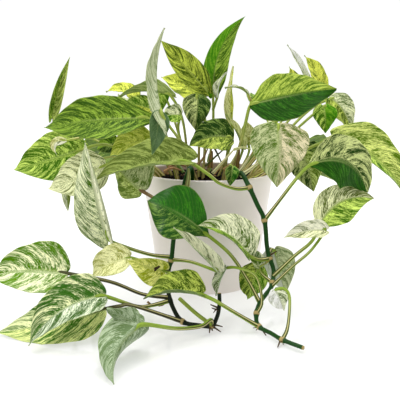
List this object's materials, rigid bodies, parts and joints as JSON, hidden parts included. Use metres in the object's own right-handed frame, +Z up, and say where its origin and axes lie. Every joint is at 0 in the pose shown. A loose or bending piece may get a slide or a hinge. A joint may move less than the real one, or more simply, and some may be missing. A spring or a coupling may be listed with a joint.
{
  "type": "potted pothos plant",
  "caption": "Potted trailing plant: a tapered white pot full of soil, heart-shaped green and cream leaves on long stalks, and stems that hang over the rim and lie on the surface",
  "frame": {"origin": "the middle of the pot's flat underside, on the surface that it stands on", "axes": "+Z up along the pot's axis, +X to the right seen from the front, +Y to the back; the two trailing stems come over the rim on the front side, -Y"},
  "size_m": [0.4082, 0.3906, 0.287],
  "materials": {
    "pot": "plain white satin glaze",
    "soil": "loose dark potting soil with bits of bark, dry to the eye",
    "stem": "smooth dark green skin with brown rings at the joints",
    "leaf_green": "waxy green leaf with cream and lime streaks",
    "leaf_dark": "waxy dark green leaf with few pale streaks",
    "leaf_pale": "waxy cream leaf with green streaks and flecks"
  },
  "bodies": {
    "root": {"pot": "pot", "soil": "soil", "stem_left": "stem", "stem_right": "stem", "trail_left_1": "leaf_pale", "trail_left_2": "leaf_pale", "trail_left_3": "leaf_green", "trail_left_4": "leaf_pale", "trail_left_5": "leaf_green", "trail_left_6": "leaf_pale", "trail_left_7": "leaf_pale", "trail_left_8": "leaf_pale", "trail_right_1": "leaf_dark", "trail_right_2": "leaf_pale", "trail_right_3": "leaf_green", "trail_right_4": "leaf_pale", "trail_right_5": "leaf_pale", "trail_right_6": "leaf_dark", "trail_right_7": "leaf_green", "trail_right_8": "leaf_pale", "trail_right_9": "leaf_green", "trail_right_10": "leaf_green", "trail_right_11": "leaf_pale", "crown_left_1": "leaf_pale", "crown_left_2": "leaf_green", "crown_left_3": "leaf_green", "crown_left_4": "leaf_green", "crown_left_5": "leaf_green", "crown_left_6": "leaf_green", "crown_left_7": "leaf_green", "crown_left_8": "leaf_green", "crown_left_9": "leaf_dark", "crown_left_10": "leaf_dark", "crown_left_11": "leaf_dark", "crown_left_12": "leaf_green", "crown_left_13": "leaf_green", "crown_left_14": "leaf_pale", "crown_left_15": "leaf_green", "crown_left_16": "leaf_green", "crown_left_17": "leaf_dark", "crown_left_18": "leaf_green", "crown_left_19": "leaf_dark", "crown_mid_1": "leaf_green", "crown_mid_2": "leaf_pale", "crown_mid_3": "leaf_green", "crown_mid_4": "leaf_pale", "crown_right_1": "leaf_green", "crown_right_2": "leaf_pale", "crown_right_3": "leaf_green", "crown_right_4": "leaf_pale", "crown_right_5": "leaf_pale", "crown_right_6": "leaf_green", "crown_right_7": "leaf_green", "crown_right_8": "leaf_green", "crown_right_9": "leaf_dark", "crown_right_10": "leaf_dark", "crown_right_11": "leaf_green", "spray_back_left": "leaf_green", "spray_back_middle": "leaf_green", "spray_back_right": "leaf_green"}
  },
  "joints": []
}
